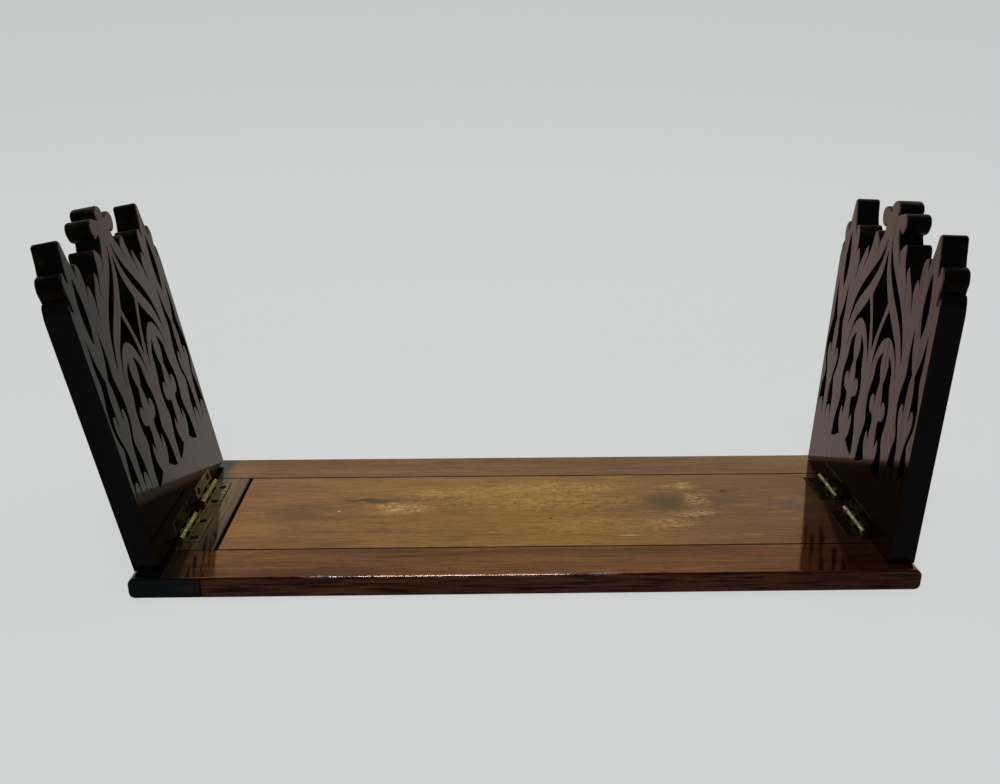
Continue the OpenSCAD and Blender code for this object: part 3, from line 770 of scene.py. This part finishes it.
def finished_fret(node, material):
    """A fret end with rounded heads and crisp tracery, each arris rolled over as sawing and sanding
    leave it."""
    shape = merged(node)
    top = max(vert.co.z for vert in shape.verts)

    def radius_at(place):
        if RECESS_LOW < place.z < RECESS_HIGH and abs(place.y) < RECESS_HALF:
            return RECESS_EDGE
        depth = PINNACLE_DEPTH if abs(place.y) > PINNACLE_Y else HEAD_DEPTH
        head = min(1.0, max(0.0, (place.z - top + depth) / HEAD_BLEND))
        return TRACERY_EDGE + (HEAD_EDGE - TRACERY_EDGE) * head

    wide = {}
    for face in shape.faces:
        wide.setdefault(flat_of(face), []).append(face)
    biggest = max(wide.values(), key=lambda faces: sum(face.calc_area() for face in faces))[0]
    normal = biggest.normal.copy()
    for way in (normal, -normal):
        facing = [face for face in shape.faces if face.normal.dot(way) > FLAT_FACING]
        level = max(face.verts[0].co.dot(way) for face in facing)
        outer = [face for face in facing if level - face.verts[0].co.dot(way) < FLAT_STEP]
        round_rim(shape, outer, radius_at)
    shape.normal_update()
    stand_in(node, shape, material)


# Wood, each piece with its softened edges
fret = fret_wood()
tie = tie_wood()
finished("front_rail", RAIL_EDGE, front_rail_wood())
finished("rear_rail", JOINT_EDGE, rear_rail_wood())
finished("front_end_block", JOINT_EDGE, front_block_wood())
finished("rear_end_block", JOINT_EDGE, rear_block_wood())
finished("left_hinge_block", BOARD_EDGE, hinge_block_wood())
finished("centre_board", BOARD_EDGE, golden_board_wood())
for name in ("left_fret_end", "right_fret_end"):
    finished_fret(name, fret)
for name in ("left_tie", "right_tie", "foot_strip", "stop_strip"):
    finished(name, TIE_EDGE, tie)

# Brass and iron: the leaves that mirror the darkest surroundings get a darker copy of the brass, a
# painted dark reflection
leaf = leaf_brass()
shaded_leaf = shaded_leaf_brass()
metal = {"_pin": pin_brass(), "_screws": screw_iron()}
for name, node in nodes.items():
    if name.endswith("_leaf"):
        # These leaves take the darker copy: painted dark reflection
        dark = name.startswith("right") or name == "left_front_end_leaf"
        finished(name, LEAF_EDGE, shaded_leaf if dark else leaf)
    for ending, material in metal.items():
        if name.endswith(ending):
            node.data.materials.clear()
            node.data.materials.append(material)

# Floor and backdrop in one sweep, pale grey, which keeps a soft shadow
SWEEP_FRONT = -1.6
SWEEP_BACK = 0.9
SWEEP_RADIUS = 0.6
SWEEP_HEIGHT = 2.2
SWEEP_HALF_WIDTH = 2.6
SWEEP_STEPS = 24
# Its brightness to the eye at two heights, and to what mirrors it at two places in depth
PAPER_GLOW = 0.575
PAPER_GLOW_HIGH = 0.515
GLOW_Z = (0.02, 0.3)
FRONT_GLOW = 0.14
MIRROR_Y = (-0.08, 0.05)


def sweep_paper():
    # Pale matt paper: evenly bright to the eye, and dimmer in front of the base for what mirrors it
    material, tree, place = new_material("paper_sweep_pale")
    rays = add(tree, "LightPath").node.outputs
    at = add(tree, "SeparateXYZ", {0: place}).node.outputs
    even = add(tree, "MapRange", {
        "Value": at["Z"], "From Min": GLOW_Z[0], "From Max": GLOW_Z[1],
        "To Min": PAPER_GLOW, "To Max": PAPER_GLOW_HIGH})
    behind = add(tree, "MapRange", {
        "Value": at["Y"], "From Min": MIRROR_Y[0], "From Max": MIRROR_Y[1],
        "To Min": FRONT_GLOW, "To Max": PAPER_GLOW}, **SOFT_STEP)
    mirror = add(tree, "Math", {
        0: rays["Is Glossy Ray"], 1: rays["Is Transmission Ray"]}, operation="MAXIMUM")
    mirrored = add(tree, "Math", {0: mirror, 1: behind}, operation="MULTIPLY")
    seen = add(tree, "Math", {0: rays["Is Camera Ray"], 1: even}, operation="MULTIPLY")
    strength = add(tree, "Math", {0: seen, 1: mirrored}, operation="MAXIMUM")
    paper = add(tree, "BsdfDiffuse", {"Color": linear("959896")})
    glow = add(tree, "Emission", {"Color": linear("fdfffe"), "Strength": strength})
    add(tree, "OutputMaterial", {"Surface": add(tree, "AddShader", {0: paper, 1: glow})})
    return material


def sweep():
    """The floor, which bends up into the backdrop along a quarter circle."""
    bend_y = SWEEP_BACK - SWEEP_RADIUS
    profile = [(SWEEP_FRONT, 0.0)]
    for i in range(SWEEP_STEPS + 1):
        turn = math.pi / 2 * i / SWEEP_STEPS
        profile.append(
            (bend_y + SWEEP_RADIUS * math.sin(turn), SWEEP_RADIUS * (1 - math.cos(turn))))
    profile.append((SWEEP_BACK, SWEEP_HEIGHT))
    points = [(x, y, z) for y, z in profile for x in (-SWEEP_HALF_WIDTH, SWEEP_HALF_WIDTH)]
    faces = [(2 * i, 2 * i + 1, 2 * i + 3, 2 * i + 2) for i in range(len(profile) - 1)]
    mesh = bpy.data.meshes.new("sweep")
    mesh.from_pydata(points, [], faces)
    for face in mesh.polygons:
        face.use_smooth = True
    mesh.materials.append(sweep_paper())
    paper = bpy.data.objects.new("sweep", mesh)
    bpy.context.scene.collection.objects.link(paper)


sweep()

# A dim room, a broad soft light above and behind, and a long lamp in front that catches the worn
# arris: name, place in metres, turn in degrees, size and power
ROOM_COLOUR = "f1f4f6"
ROOM_LIGHT = 0.07
LIGHTS = (
    ("soft_light", (0.0, 0.35, 1.7), (-12, 0, 0), (1.8, 0.8), 4.1),
    ("long_lamp", (-0.1, -0.75, 1.45), (27, 0, 0), (0.5, 0.09), 2.6),
)

world = bpy.data.worlds.new("room")
world.use_nodes = True
background = world.node_tree.nodes["Background"]
background.inputs["Color"].default_value = linear(ROOM_COLOUR)
background.inputs["Strength"].default_value = ROOM_LIGHT
bpy.context.scene.world = world

for name, place, turn, size, watts in LIGHTS:
    lamp = bpy.data.lights.new(name, "AREA")
    lamp.shape = "RECTANGLE"
    lamp.size, lamp.size_y = size
    lamp.energy = watts
    lamp_object = bpy.data.objects.new(name, lamp)
    lamp_object.location = place
    lamp_object.rotation_euler = [math.radians(a) for a in turn]
    bpy.context.scene.collection.objects.link(lamp_object)

camera = bpy.data.cameras.new("camera")
camera.lens = CAMERA_LENS
camera.sensor_width = SENSOR_WIDTH
camera_object = bpy.data.objects.new("camera", camera)
camera_object.location = CAMERA_AT
camera_object.rotation_euler = [math.radians(a) for a in CAMERA_TURN]
bpy.context.scene.collection.objects.link(camera_object)
bpy.context.scene.camera = camera_object
bpy.context.scene.view_settings.view_transform = "Standard"
